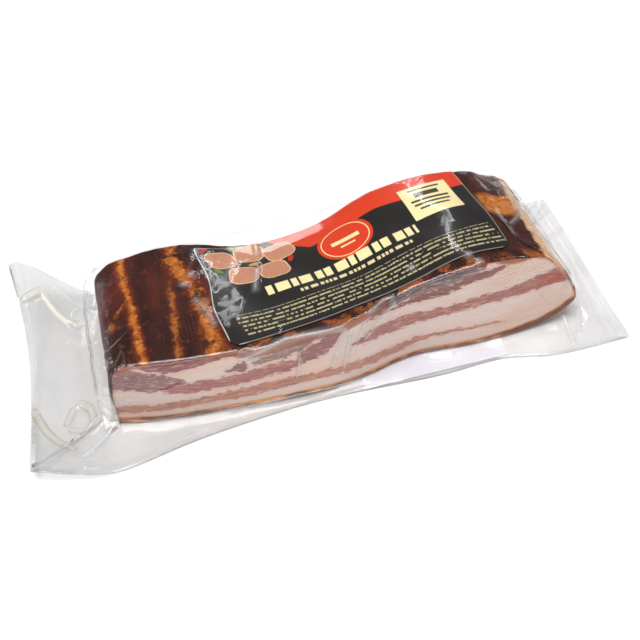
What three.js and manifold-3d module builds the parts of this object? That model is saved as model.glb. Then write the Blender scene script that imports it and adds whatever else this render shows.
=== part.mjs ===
// A slab of smoked bacon, sealed under vacuum in a clear bag. The slab lies skin down with its
// smoked side up, and the bag's two webs meet round it in a flat flange. A printed label lies on
// the top, and a plain one is under the bag and shows past the slab's front edge.
// Millimetres, +Z up, +X along the slab, +Y to its back. The origin is the bottom centre of the bag.
import * as THREE from "three";
import { mergeVertices } from "three/addons/utils/BufferGeometryUtils.js";
import Module from "manifold-3d";

const wasm = await Module();
wasm.setup();

// The bag, laid flat: its two ends, its corners, and how thick the two welded webs are drawn.
const BAG_LEFT = -170;
const BAG_RIGHT = 174;
const BAG_RADIUS = 3;
const WEB = 1.4;
// Where its two long edges run. They are drawn in where the slab takes up film.
// x, front edge, back edge
const BAG_EDGES = [
  [-170, -74, 82],
  [-150, -80, 78],
  [-125, -82, 72],
  [-75, -72, 63],
  [-10, -66, 60],
  [60, -69, 60],
  [95, -68, 61],
  [125, -75, 64],
  [174, -75, 64],
];
// Its two short edges aren't straight: the left one swings in and out again, and the right one slants.
const LEFT_SWING = 3;
const SWING_LENGTH = 170;
const SWING_FROM = -15;
const RIGHT_SLANT = 5;
const END_REACH = 30;
// How far the flange stands off the table at its left corners, and from where to where it curls up.
const BACK_LEFT_CURL = 30;
const FRONT_LEFT_CURL = 9;
const BACK_CURL_FROM = -30;
const FRONT_CURL_FROM = -40;
const CURL_TO = 82;
const CURL_FOOT = -117;
// How far up the slab the film stands off it, and how far out from its foot.
const FRONT_TENT = 5;
const BACK_TENT = 11;
const TENT_REACH = 8;

// The slab: the x of its two feet, and its sections.
const SLAB_LEFT = -123;
const SLAB_RIGHT = 151;
// x, front y, back y, thickness at the front, thickness at the back
const SLAB_SECTIONS = [
  [-123, -48, 43, 43, 44],
  [-99, -53.5, 45.5, 44, 46],
  [-78, -56.5, 46, 44, 47],
  [-57, -58.5, 45, 44, 45],
  [-35, -60, 44, 44, 38],
  [-12, -61, 43, 45, 36],
  [8, -60, 43, 46, 38],
  [25, -56.5, 43, 47.5, 43],
  [38, -53, 43.5, 49, 49],
  [53, -51, 44, 52, 54.5],
  [85, -53.5, 45, 59, 57],
  [120, -51.5, 45, 55, 52],
  [151, -50, 43, 51, 46],
];
// Each end leans in towards its top by this much, over the height given.
const LEFT_LEAN = 8;
const RIGHT_LEAN = 21;
const LEAN_HEIGHT = 50;
const LEAN_FADE = 45;
const LEAN_POWER = 2;
// Radii of the slab's corners seen from above, and of its top edge at the cut face, back and left end.
const PLAN_RADIUS = 9;
const CUT_RADIUS = 4;
const BACK_RADIUS = 9;
const LEFT_RADIUS = 8;
// The crown of the smoked side, and the height and the four wavelengths of its low bumps.
const CROWN = 2;
const RELIEF = 1.1;
const BUMP = { alongX: 13, swayY: 19, acrossY: 11, swayX: 37 };
// The top's rings close towards its middle line, but stop just short of it.
const LAST_RING = 0.92;

// The printed label, which follows the slab's top, and the plain one in the bag's underside.
const LABEL = { length: 162, width: 89, x: 26, y: -3, turn: 5, radius: 7, slant: 9, thick: 0.4 };
const BACK_LABEL = { length: 84, width: 54, x: 58, y: -38.5, thick: 0.3 };
const LABEL_DROOP = 2.5;
const LABEL_GAP = 0.4;
const LABEL_MARGIN = 10;
const LABEL_COLUMNS = 28;
const LABEL_ROWS = 18;
const LABEL_CORNER_STEPS = 6;
const GAP = 0.3;

// How finely the outlines and the skin between them are divided.
const SIDE_STEPS = 36;
const END_STEPS = 6;
const CORNER_STEPS = 4;
const FLANGE_STEPS = 8;
const WALL_STEPS = 4;
const TOP_STEPS = 7;

const smooth = THREE.MathUtils.smoothstep;

// A smooth curve through the stations: the value of one column at x.
function along(stations, column, x) {
  const last = stations.length - 2;
  let i = 0;
  while (i < last && x > stations[i + 1][0]) i += 1;
  const at = (k) => stations[THREE.MathUtils.clamp(k, 0, last + 1)];
  const slope = (k) => (at(k + 1)[column] - at(k - 1)[column]) / (at(k + 1)[0] - at(k - 1)[0]);
  const [x0, x1] = [at(i)[0], at(i + 1)[0]];
  const t = THREE.MathUtils.clamp((x - x0) / (x1 - x0), 0, 1);
  const span = x1 - x0;
  return (
    at(i)[column] * (1 + 2 * t) * (1 - t) ** 2 +
    at(i + 1)[column] * t * t * (3 - 2 * t) +
    slope(i) * span * t * (1 - t) ** 2 -
    slope(i + 1) * span * t * t * (1 - t)
  );
}

const slabFront = (x) => along(SLAB_SECTIONS, 1, x);
const slabBack = (x) => along(SLAB_SECTIONS, 2, x);

// Height of the smoked side: from the front thickness to the back one, a little crowned, with low bumps.
function slabTop(x, y) {
  const t = THREE.MathUtils.clamp((y - slabFront(x)) / (slabBack(x) - slabFront(x)), 0, 1);
  const edge = THREE.MathUtils.lerp(along(SLAB_SECTIONS, 3, x), along(SLAB_SECTIONS, 4, x), t);
  const longWave = Math.sin(x / BUMP.alongX + Math.sin(y / BUMP.swayY));
  const bumps = longWave * Math.sin(y / BUMP.acrossY + x / BUMP.swayX);
  return edge + CROWN * 4 * t * (1 - t) + RELIEF * bumps * Math.sin(Math.PI * t);
}

// How far a point of the slab at this height has leaned in from the end it belongs to.
function lean(x, z) {
  const share = (Math.max(z, 0) / LEAN_HEIGHT) ** LEAN_POWER;
  const left = LEFT_LEAN * (1 - smooth(x, SLAB_LEFT, SLAB_LEFT + LEAN_FADE));
  const right = RIGHT_LEAN * smooth(x, SLAB_RIGHT - LEAN_FADE, SLAB_RIGHT);
  return share * (left - right);
}

// A closed mesh as a solid for cutting and joining, and back.
function toSolid(geometry) {
  const bare = geometry.clone();
  bare.deleteAttribute("normal");
  bare.deleteAttribute("uv");
  const merged = mergeVertices(bare, 1e-4);
  return new wasm.Manifold(
    new wasm.Mesh({
      numProp: 3,
      vertProperties: new Float32Array(merged.attributes.position.array),
      triVerts: new Uint32Array(merged.index.array),
    }),
  );
}

function toGeometry(solid) {
  const mesh = solid.getMesh();
  const geometry = new THREE.BufferGeometry();
  geometry.setAttribute("position", new THREE.BufferAttribute(mesh.vertProperties, 3));
  geometry.setIndex(new THREE.BufferAttribute(mesh.triVerts, 1));
  geometry.computeVertexNormals();
  return geometry;
}

function fromTriangles(points, triangles) {
  const geometry = new THREE.BufferGeometry();
  geometry.setAttribute("position", new THREE.Float32BufferAttribute(points.flat(), 3));
  geometry.setIndex(triangles);
  return geometry;
}

// Rings of equal count, joined in order. Each of the two end rings is closed by a zip across it,
// from its first point and the one opposite.
function loft(rings) {
  const count = rings[0].length;
  const triangles = [];
  for (let r = 0; r + 1 < rings.length; r += 1) {
    for (let k = 0; k < count; k += 1) {
      const [a, b] = [r * count + k, r * count + ((k + 1) % count)];
      triangles.push(a, b, a + count, b, b + count, a + count);
    }
  }
  const zip = (base, facing) => {
    for (let k = 0; k < count / 2; k += 1) {
      const [a, b] = [base + k, base + k + 1];
      const [c, d] = [base + count - k - 1, base + ((count - k) % count)];
      const pair = [];
      if (b !== c) pair.push([a, b, c]);
      if (a !== d) pair.push([a, c, d]);
      pair.forEach((t) => triangles.push(...(facing > 0 ? t : t.reverse())));
    }
  };
  zip(0, -1);
  zip((rings.length - 1) * count, 1);
  return fromTriangles(rings.flat(), triangles);
}

// A sheet between two height functions over a grid of columns and rows.
function sheet(columns, rows, place, low, high) {
  const points = [];
  const triangles = [];
  for (const height of [low, high]) {
    for (let i = 0; i <= columns; i += 1) {
      for (let j = 0; j <= rows; j += 1) {
        const [x, y] = place(i / columns, j / rows);
        points.push([x, y, height(x, y)]);
      }
    }
  }
  const at = (layer, i, j) => layer * (columns + 1) * (rows + 1) + i * (rows + 1) + j;
  for (let i = 0; i < columns; i += 1) {
    for (let j = 0; j < rows; j += 1) {
      for (const layer of [0, 1]) {
        const [a, b] = [at(layer, i, j), at(layer, i + 1, j)];
        const [c, d] = [at(layer, i + 1, j + 1), at(layer, i, j + 1)];
        triangles.push(...(layer ? [a, b, c, a, c, d] : [a, c, b, a, d, c]));
      }
    }
  }
  const rim = [];
  for (let i = 0; i < columns; i += 1) rim.push([i, 0]);
  for (let j = 0; j < rows; j += 1) rim.push([columns, j]);
  for (let i = columns; i > 0; i -= 1) rim.push([i, rows]);
  for (let j = rows; j > 0; j -= 1) rim.push([0, j]);
  rim.forEach(([i, j], k) => {
    const [m, n] = rim[(k + 1) % rim.length];
    triangles.push(at(0, i, j), at(0, m, n), at(1, m, n), at(0, i, j), at(1, m, n), at(1, i, j));
  });
  return fromTriangles(points, triangles);
}

// A rounded outline seen from above, from the middle of its left end by the front to the middle of
// its right end, and round by the back.
function roundedOutline({ left, right, front, back, radius }) {
  const middle = (front(left) + back(left)) / 2;
  const half = (edge, side) => {
    const arc = (x, from, to, k) => {
      const angle = THREE.MathUtils.degToRad(THREE.MathUtils.lerp(from, to, k / CORNER_STEPS));
      const y = edge(x) - side * radius;
      return [x + radius * Math.cos(angle), y + side * radius * Math.sin(angle)];
    };
    const points = [];
    for (let k = 0; k < END_STEPS; k += 1) {
      const corner = edge(left + radius) - side * radius;
      points.push([left, THREE.MathUtils.lerp(middle, corner, k / END_STEPS)]);
    }
    for (let k = 0; k < CORNER_STEPS; k += 1) points.push(arc(left + radius, 180, 90, k));
    for (let k = 0; k < SIDE_STEPS; k += 1) {
      const x = THREE.MathUtils.lerp(left + radius, right - radius, k / SIDE_STEPS);
      points.push([x, edge(x)]);
    }
    for (let k = 0; k < CORNER_STEPS; k += 1) points.push(arc(right - radius, 90, 0, k));
    for (let k = 0; k <= END_STEPS; k += 1) {
      const corner = edge(right - radius) - side * radius;
      points.push([right, THREE.MathUtils.lerp(corner, middle, k / END_STEPS)]);
    }
    return points;
  };
  return [...half(front, -1), ...half(back, 1).slice(1, -1).reverse()];
}

// How far the bag's short edges swing and slant in.
function endShift(x, y) {
  const left = 1 - smooth(x, BAG_LEFT, BAG_LEFT + END_REACH);
  const right = smooth(x, BAG_RIGHT - END_REACH, BAG_RIGHT);
  const swing = LEFT_SWING * (1 + Math.sin((2 * Math.PI * (y - SWING_FROM)) / SWING_LENGTH));
  return left * swing - right * RIGHT_SLANT * (1 - smooth(y, -CURL_TO, CURL_TO));
}

// How high the flange stands off the table.
function flangeLift(x, y) {
  const toLeft = 1 - smooth(x, BAG_LEFT, CURL_FOOT);
  const toBack = smooth(y, BACK_CURL_FROM, CURL_TO);
  const toFront = smooth(-y, -FRONT_CURL_FROM, CURL_TO);
  return toLeft * (BACK_LEFT_CURL * toBack + FRONT_LEFT_CURL * toFront);
}

// The radius of the slab's top edge: small along the cut face, larger along the back and at the left.
function edgeRadius(x, y) {
  const t = THREE.MathUtils.clamp((y - slabFront(x)) / (slabBack(x) - slabFront(x)), 0, 1);
  const side = THREE.MathUtils.lerp(CUT_RADIUS, BACK_RADIUS, smooth(t, 0.2, 0.8));
  const left = 1 - smooth(x, SLAB_LEFT, SLAB_LEFT + LEFT_RADIUS);
  return THREE.MathUtils.lerp(side, LEFT_RADIUS, left);
}

// How far up the slab the film stands off it: little along the cut face, more at the ends and the back.
function tentHeight(x, y) {
  return THREE.MathUtils.lerp(FRONT_TENT, BACK_TENT, smooth(y - slabFront(x), 0, 4 * PLAN_RADIUS));
}

// The bag's skin as one closed body: out under the flange, in over it, up the slab and over its top.
function wrappedSlab() {
  const bag = roundedOutline({
    left: BAG_LEFT,
    right: BAG_RIGHT,
    front: (x) => along(BAG_EDGES, 1, x),
    back: (x) => along(BAG_EDGES, 2, x),
    radius: BAG_RADIUS,
  }).map(([x, y]) => [x + endShift(x, y), y]);
  const foot = roundedOutline({
    left: SLAB_LEFT,
    right: SLAB_RIGHT,
    front: slabFront,
    back: slabBack,
    radius: PLAN_RADIUS,
  });
  // The line along the top's middle that every ring of the top closes towards.
  const middle = foot.map(([x]) => {
    const half = (slabBack(x) - slabFront(x)) / 2;
    const at = THREE.MathUtils.mapLinear(x, SLAB_LEFT, SLAB_RIGHT, SLAB_LEFT + half, SLAB_RIGHT - half);
    return [at, (slabBack(at) + slabFront(at)) / 2];
  });
  const between = (from, to, share) => from.map(([x, y], k) => [
    THREE.MathUtils.lerp(x, to[k][0], share),
    THREE.MathUtils.lerp(y, to[k][1], share),
  ]);
  const steps = (count, ring) => Array.from({ length: count }, (_, k) => ring((k + 1) / count));
  const leaning = ([x, y, z]) => [x + lean(x, z), y, z];

  const under = steps(FLANGE_STEPS / 2, (share) =>
    between(foot, bag, share).map(([x, y]) => [x, y, flangeLift(x, y)]),
  );
  const over = steps(FLANGE_STEPS, (share) =>
    between(bag, foot, 1 - (1 - share) ** 2).map(([x, y], k) => {
      const away = Math.hypot(x - foot[k][0], y - foot[k][1]) / TENT_REACH;
      const rise = (tentHeight(...foot[k]) - WEB) * Math.exp(-away * away);
      return leaning([x, y, flangeLift(x, y) + WEB + rise]);
    }),
  );
  const wall = steps(WALL_STEPS, (share) =>
    foot.map(([x, y]) => {
      const brow = slabTop(x, y) - edgeRadius(x, y);
      return leaning([x, y, THREE.MathUtils.lerp(tentHeight(x, y), brow, share)]);
    }),
  );
  // A point of the top edge, at this angle round its radius, moved in towards the middle line.
  const brow = (k, angle) => {
    const [x, y] = foot[k];
    const radius = edgeRadius(x, y);
    const [dx, dy] = [middle[k][0] - x, middle[k][1] - y];
    const share = (radius * (1 - Math.cos(angle))) / Math.hypot(dx, dy);
    return [x + dx * share, y + dy * share, radius * (1 - Math.sin(angle))];
  };
  const edge = steps(CORNER_STEPS, (share) =>
    foot.map((_, k) => {
      const [x, y, drop] = brow(k, (share * Math.PI) / 2);
      return leaning([x, y, slabTop(x, y) - drop]);
    }),
  );
  const inner = foot.map((_, k) => brow(k, Math.PI / 2));
  const top = steps(TOP_STEPS, (share) =>
    between(inner, middle, share * LAST_RING).map(([x, y]) => leaning([x, y, slabTop(x, y)])),
  );
  const sole = foot.map(([x, y]) => [x, y, 0]);
  const rim = bag.map(([x, y]) => [x, y, flangeLift(x, y) + WEB]);
  return loft([sole, ...under, rim, ...over, ...wall, ...edge, ...top]);
}

// The recess in the bag's underside that the plain label sits in, flush with the film.
function backLabelBox(grow, low, high) {
  const { length, width, x, y } = BACK_LABEL;
  return new THREE.BoxGeometry(length + 2 * grow, width + 2 * grow, high - low).translate(
    x,
    y,
    (low + high) / 2,
  );
}

function sealedBag() {
  const recess = toSolid(backLabelBox(GAP, -1, BACK_LABEL.thick + 2 * GAP));
  return toGeometry(toSolid(wrappedSlab()).subtract(recess));
}

// The printed label: a round-cornered sheet with a slanted, wavy left end, laid on the slab's top.
function frontLabel() {
  const { length, width, x, y, turn, radius, slant, thick } = LABEL;
  const [w, h] = [length / 2, width / 2];
  const shape = new THREE.Shape();
  const left = -w - slant / 2;
  shape.moveTo(left + radius, -h);
  shape.lineTo(w - radius, -h);
  shape.absarc(w - radius, -h + radius, radius, -Math.PI / 2, 0);
  shape.lineTo(w, h);
  shape.lineTo(left + slant, h);
  shape.bezierCurveTo(-w, h / 2, -w + slant / 2, -h / 4, left, -h + radius);
  shape.absarc(left + radius, -h + radius, radius, Math.PI, 1.5 * Math.PI);
  const tall = { depth: 2 * LEAN_HEIGHT, bevelEnabled: false, curveSegments: LABEL_CORNER_STEPS };
  const outline = new THREE.ExtrudeGeometry(shape, tall);
  outline.rotateZ(THREE.MathUtils.degToRad(turn)).translate(x, y, 0);
  // Past the slab's front brow the sheet holds its height, and past the back one it droops a little.
  const level = (px, py) => {
    const inside = THREE.MathUtils.clamp(py, slabFront(px) + CUT_RADIUS, slabBack(px) - BACK_RADIUS);
    const over = THREE.MathUtils.clamp((py - inside) / BACK_RADIUS, 0, 1);
    return slabTop(px, inside) - LABEL_DROOP * over * over;
  };
  const place = (u, v) => [
    x + (u - 0.5) * (length + 2 * LABEL_MARGIN),
    y + (v - 0.5) * (width + 2 * LABEL_MARGIN),
  ];
  const low = (px, py) => level(px, py) + LABEL_GAP;
  const high = (px, py) => low(px, py) + thick;
  const blanket = toSolid(sheet(LABEL_COLUMNS, LABEL_ROWS, place, low, high));
  return toGeometry(blanket.intersect(toSolid(outline)));
}

function piece(name, geometry, material) {
  const mesh = new THREE.Mesh(geometry, new THREE.MeshStandardMaterial(material));
  mesh.name = name;
  return mesh;
}

const pack = new THREE.Group();
pack.add(
  piece("sealed_bag", sealedBag(), { color: 0x7a4034, roughness: 0.25, metalness: 0 }),
  piece("front_label", frontLabel(), { color: 0x1c1b1a, roughness: 0.35, metalness: 0 }),
  piece("back_label", backLabelBox(0, GAP / 2, GAP / 2 + BACK_LABEL.thick), {
    color: 0xe8e6ee,
    roughness: 0.5,
    metalness: 0,
  }),
);

// The sizes above are measured from near the middle of the slab's foot. The origin moves to the bag's.
const box = new THREE.Box3().setFromObject(pack);
const centre = box.getCenter(new THREE.Vector3());
pack.children.forEach((mesh) => mesh.geometry.translate(-centre.x, -centre.y, -box.min.z));

export default pack;
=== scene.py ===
# %% [markdown]
# A slab of smoked bacon in a vacuum bag
#
# The CAD model gives the sizes: a closed bag with a slab shrunk inside it, a printed label on its top
# and a plain one under it. This lesson gives each of them its real look. It starts by loading that
# model.

# %% Load the frame
import math

import bmesh
import bpy
import numpy as np
from mathutils import Matrix, Vector


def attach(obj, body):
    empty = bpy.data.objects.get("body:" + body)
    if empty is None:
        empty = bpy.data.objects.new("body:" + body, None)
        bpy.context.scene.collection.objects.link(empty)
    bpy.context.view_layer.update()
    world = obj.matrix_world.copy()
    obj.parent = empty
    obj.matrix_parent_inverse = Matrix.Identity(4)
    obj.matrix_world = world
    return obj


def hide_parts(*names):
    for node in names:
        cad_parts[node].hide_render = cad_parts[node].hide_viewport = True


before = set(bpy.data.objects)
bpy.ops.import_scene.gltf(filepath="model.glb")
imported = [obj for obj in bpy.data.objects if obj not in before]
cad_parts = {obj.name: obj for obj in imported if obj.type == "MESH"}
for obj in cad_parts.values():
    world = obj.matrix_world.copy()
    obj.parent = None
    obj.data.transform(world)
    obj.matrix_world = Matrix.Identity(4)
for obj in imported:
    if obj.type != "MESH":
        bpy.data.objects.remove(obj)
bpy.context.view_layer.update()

# %% [markdown]
# Camera
#
# The camera stands in front of the slab, above it and a little to the left, with its head tilted. Its
# lens is worked out from how much smaller the bag's far edge looks than its near one. A Track To
# constraint could aim it, but three axes in a matrix are exact, and nothing stays live in the file.

# %% Place the camera
MM = 0.001
TARGET = Vector((4.1, -0.5, 0.0)) * MM
ELEVATION = math.radians(41.7)
YAW = math.radians(9.4)
ROLL = math.radians(7.0)
DISTANCE = 681 * MM
LENS = 64.4

forward = Vector(
    (
        math.sin(YAW) * math.cos(ELEVATION),
        math.cos(YAW) * math.cos(ELEVATION),
        -math.sin(ELEVATION),
    )
)
right = Vector((math.cos(YAW), -math.sin(YAW), 0.0))
up = right.cross(forward)
camera_x = math.cos(ROLL) * right - math.sin(ROLL) * up
camera_y = math.sin(ROLL) * right + math.cos(ROLL) * up
bpy.ops.object.camera_add()
camera = bpy.context.object
camera.matrix_world = Matrix.Translation(TARGET - DISTANCE * forward) @ Matrix(
    (camera_x, camera_y, -forward)
).transposed().to_4x4()
camera.data.lens = LENS
camera.data.clip_start = 0.01
bpy.context.scene.camera = camera
print("camera at", tuple(round(v, 3) for v in camera.location))

# %% [markdown]
# Floor and light
#
# The bag is clear and looks wet, so the light matters more than usual. A wide soft sun gives the even
# light of a bright studio, and two large panels lift the meat. Matt surfaces hide the shape of a lamp,
# but film mirrors it, so three narrow strips are there only to glint in the creases.

# %% Lay the floor and hang the lights
FLOOR_SIZE, FLOOR_DROP = 80, 0.0006
SUN_TURN = (math.radians(12), math.radians(-5), 0)
SUN_WIDTH, SUN_STRENGTH = math.radians(36), 1.9
WORLD_STRENGTH = 0.12
# name, place, size, watts
PANELS = [
    ("overhead", (-0.1, -0.25, 1.35), (1.3, 0.8), 7.5),
    ("front_fill", (-0.15, -1.3, 0.8), (1.2, 0.6), 4.6),
    ("left_strip", (-0.95, 0.25, 0.5), (0.1, 0.5), 1.5),
    ("back_strip", (0.3, 1.1, 0.75), (0.05, 0.9), 1.1),
    ("right_strip", (0.8, 0.2, 0.75), (0.06, 0.4), 1.1),
]


def panel(name, place, size, watts):
    """An area light that looks at the slab."""
    bpy.ops.object.light_add(type="AREA", location=place)
    light = bpy.context.object
    light.name = name
    light.data.shape = "RECTANGLE"
    light.data.size, light.data.size_y = size
    light.data.energy = watts
    light.rotation_euler = (TARGET - light.location).to_track_quat("-Z", "Y").to_euler()


bpy.ops.mesh.primitive_plane_add(size=FLOOR_SIZE, location=(0, 0, -FLOOR_DROP))
floor = bpy.context.object
floor.name = "floor"
bpy.ops.object.light_add(type="SUN", rotation=SUN_TURN)
sky = bpy.context.object
sky.name = "soft_sky"
sky.data.angle = SUN_WIDTH
sky.data.energy = SUN_STRENGTH
for light in PANELS:
    panel(*light)
world = bpy.data.worlds.new("studio")
bpy.context.scene.world = world
world.use_nodes = True
backdrop = world.node_tree.nodes["Background"]
backdrop.inputs["Color"].default_value = (1.0, 1.0, 1.0, 1.0)
backdrop.inputs["Strength"].default_value = WORLD_STRENGTH
bpy.context.scene.view_settings.view_transform = "Standard"
print(len(PANELS), "panels and a sun")

# %% [markdown]
# The form under the film
#
# The belly isn't a box: it dips behind its middle and swells to the right. A few stations along it say
# where its front and back edges run and how thick it is there, and a smooth curve goes through them.
# The bag and the slab inside it are worked out from the same stations, so they always fit.

# %% Stations along the slab, in millimetres
PLACE = Vector((-1.9, 0.43, 0.0))
BAG_LEFT, BAG_RIGHT, BAG_RADIUS = -170, 174, 3
SLAB_LEFT, SLAB_RIGHT = -123, 151
# x, front edge, back edge
BAG_EDGES = np.array(
    [
        (-170, -74, 82),
        (-150, -80, 78),
        (-125, -82, 72),
        (-75, -72, 63),
        (-10, -66, 60),
        (60, -69, 60),
        (95, -68, 61),
        (125, -75, 64),
        (174, -75, 64),
    ],
    float,
)
# x, front y, back y, thickness at the front, thickness at the back
SLAB_SECTIONS = np.array(
    [
        (-123, -48, 43, 43, 44),
        (-99, -53.5, 45.5, 44, 46),
        (-78, -56.5, 46, 44, 47),
        (-57, -58.5, 45, 44, 45),
        (-35, -60, 44, 44, 38),
        (-12, -61, 43, 45, 36),
        (8, -60, 43, 46, 38),
        (25, -56.5, 43, 47.5, 43),
        (38, -53, 43.5, 49, 49),
        (53, -51, 44, 52, 54.5),
        (85, -53.5, 45, 59, 57),
        (120, -51.5, 45, 55, 52),
        (151, -50, 43, 51, 46),
    ],
    float,
)
print(len(BAG_EDGES), "stations for the bag,", len(SLAB_SECTIONS), "for the slab")

# %% Smooth curves through the stations
CROWN, RELIEF = 2, 1.1


def smooth(value, low, high):
    """0 below low, 1 above high, and an even swing between them."""
    t = np.clip((value - low) / (high - low), 0, 1)
    return t * t * (3 - 2 * t)


def along(stations, column, x):
    """A smooth curve through one column of the stations, at x."""
    xs, ys = stations[:, 0], stations[:, column]
    slopes = np.gradient(ys, xs)
    slopes[1:-1] = (ys[2:] - ys[:-2]) / (xs[2:] - xs[:-2])
    i = np.clip(np.searchsorted(xs, x, side="right") - 1, 0, len(xs) - 2)
    span = xs[i + 1] - xs[i]
    t = np.clip((x - xs[i]) / span, 0, 1)
    return (
        ys[i] * (1 + 2 * t) * (1 - t) ** 2
        + ys[i + 1] * t * t * (3 - 2 * t)
        + slopes[i] * span * t * (1 - t) ** 2
        - slopes[i + 1] * span * t * t * (1 - t)
    )


def slab_front(x):
    return along(SLAB_SECTIONS, 1, x)


def slab_back(x):
    return along(SLAB_SECTIONS, 2, x)


def slab_top(x, y):
    """Height of the film's top over the slab."""
    t = np.clip((y - slab_front(x)) / (slab_back(x) - slab_front(x)), 0, 1)
    edge = (1 - t) * along(SLAB_SECTIONS, 3, x) + t * along(SLAB_SECTIONS, 4, x)
    bumps = np.sin(x / 13 + np.sin(y / 19)) * np.sin(y / 11 + x / 37)
    return edge + CROWN * 4 * t * (1 - t) + RELIEF * bumps * np.sin(np.pi * t)


print("height at x 85:", round(float(slab_top(np.array(85.0), np.array(0.0))), 1), "mm")

# %% How the ends lean, slant and curl
LEFT_LEAN, RIGHT_LEAN, LEAN_HEIGHT, LEAN_FADE, LEAN_POWER = 8, 21, 50, 45, 2
LEFT_SWING, SWING_LENGTH, SWING_FROM, RIGHT_SLANT, END_REACH = 3, 170, -15, 5, 30
BACK_CURL, FRONT_CURL, HALF_WIDTH = 30, 9, 82


def lean(x, z):
    """How far a point has leaned in from its end of the slab at this height."""
    share = (np.maximum(z, 0) / LEAN_HEIGHT) ** LEAN_POWER
    left = LEFT_LEAN * (1 - smooth(x, SLAB_LEFT, SLAB_LEFT + LEAN_FADE))
    right_side = RIGHT_LEAN * smooth(x, SLAB_RIGHT - LEAN_FADE, SLAB_RIGHT)
    return share * (left - right_side)


def end_shift(x, y):
    """How far the bag's short edges swing and slant in."""
    left = 1 - smooth(x, BAG_LEFT, BAG_LEFT + END_REACH)
    right_end = smooth(x, BAG_RIGHT - END_REACH, BAG_RIGHT)
    swing = LEFT_SWING * (1 + np.sin(2 * np.pi * (y - SWING_FROM) / SWING_LENGTH))
    return left * swing - right_end * RIGHT_SLANT * (1 - smooth(y, -HALF_WIDTH, HALF_WIDTH))


def flange_lift(x, y):
    """How high the flange curls off the table at its left corners."""
    to_left = 1 - smooth(x, BAG_LEFT, SLAB_LEFT + 6)
    return to_left * (BACK_CURL * smooth(y, -30, HALF_WIDTH) + FRONT_CURL * smooth(-y, 40, HALF_WIDTH))


print("back left corner curls up", round(float(flange_lift(BAG_LEFT, HALF_WIDTH)), 1), "mm")

# %% [markdown]
# Rolled grids
#
# Both the slab and its film are closed skins that run in rings: along the outline, then inwards and up.
# A grid is the natural start. Its columns run round the outline and its rows from ring to ring. Once its
# points are on the rings, the first and last columns meet in a seam, the innermost ring closes like a
# zip along the middle, and merging the doubles makes one closed skin.

# %% Outlines
SIDE_STEPS, END_STEPS, CORNER_STEPS = 250, 60, 8


def outline(left, right_end, front, back, radius):
    """Points of a rounded outline from the middle of the left end, by the front, back to the start."""
    middle = float(front(left) + back(left)) / 2

    def half(edge, side):
        corner_left = edge(left + radius) - side * radius
        corner_right = edge(right_end - radius) - side * radius
        ends = np.linspace(0, 1, END_STEPS + 1)
        turns = np.radians(np.linspace(180, 90, CORNER_STEPS + 1)[:-1])
        xs = np.linspace(left + radius, right_end - radius, SIDE_STEPS + 1)
        left_arc_x = left + radius + radius * np.cos(turns)
        right_arc_x = right_end - radius - radius * np.cos(turns[::-1])
        sines = np.sin(turns)
        parts = [
            (np.full(END_STEPS, left), middle + (corner_left - middle) * ends[:-1]),
            (left_arc_x, edge(left_arc_x) - side * radius * (1 - sines)),
            (xs, edge(xs)),
            (right_arc_x, edge(right_arc_x) - side * radius * (1 - sines[::-1])),
            (np.full(END_STEPS + 1, right_end), corner_right + (middle - corner_right) * ends),
        ]
        return np.concatenate([np.stack(p, 1) for p in parts])

    front_half = half(front, -1)
    back_half = half(back, 1)
    return np.concatenate([front_half, back_half[1:-1][::-1], front_half[:1]])


def middle_line(foot):
    """Where each ring point ends up when the top closes along its middle."""
    x = foot[:, 0]
    half = (slab_back(x) - slab_front(x)) / 2
    share = (x - x.min()) / (x.max() - x.min())
    at = (1 - share) * (x.min() + half) + share * (x.max() - half)
    return np.stack([at, (slab_back(at) + slab_front(at)) / 2], 1)


# %% Roll a grid into a skin
MERGE_DISTANCE = 2e-5


def read_points(mesh):
    """The mesh's points, one row of x, y and z for each."""
    flat = np.zeros(len(mesh.vertices) * 3)
    mesh.vertices.foreach_get("co", flat)
    return flat.reshape(-1, 3)


def write_points(mesh, points):
    """Moves the mesh's points to these places, in millimetres along the stations."""
    mesh.vertices.foreach_set("co", ((np.asarray(points) + np.array(PLACE)) * MM).ravel())


def stored(obj, key):
    """One value for each point, as it was stored on the mesh."""
    values = np.zeros(len(obj.data.vertices), np.float32)
    obj.data.attributes[key].data.foreach_get("value", values)
    return values


def rolled(name, rings, values):
    """A closed skin from rings of points in millimetres, with named values for the materials."""
    rings = np.asarray(rings)
    rows, columns = rings.shape[:2]
    bpy.ops.object.select_all(action="DESELECT")
    bpy.ops.mesh.primitive_grid_add(x_subdivisions=columns - 1, y_subdivisions=rows - 1, size=1)
    skin = bpy.context.object
    skin.name = name
    mesh = skin.data
    flat = read_points(mesh)
    column = np.rint((flat[:, 0] + 0.5) * (columns - 1)).astype(int)
    row = np.rint((flat[:, 1] + 0.5) * (rows - 1)).astype(int)
    write_points(mesh, rings[row, column])
    for key, table in values.items():
        layer = mesh.attributes.new(key, "FLOAT", "POINT")
        layer.data.foreach_set("value", np.asarray(table)[row, column].astype(np.float32))
    bpy.ops.object.mode_set(mode="EDIT")
    bpy.ops.mesh.select_all(action="SELECT")
    bpy.ops.mesh.remove_doubles(threshold=MERGE_DISTANCE)
    bpy.ops.mesh.normals_make_consistent(inside=False)
    bpy.ops.object.mode_set(mode="OBJECT")
    bpy.ops.object.shade_smooth()
    print(name, len(mesh.vertices), "points", len(mesh.polygons), "faces")
    return skin


class Rings:
    """The rings of one skin, with the values that its materials read."""

    def __init__(self, *keys):
        self.points = []
        self.values = {key: [] for key in keys}

    def add(self, points, **values):
        self.points.append(points)
        for key, column in self.values.items():
            column.append(np.zeros(len(points)) + values.get(key, 0.0))


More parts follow.
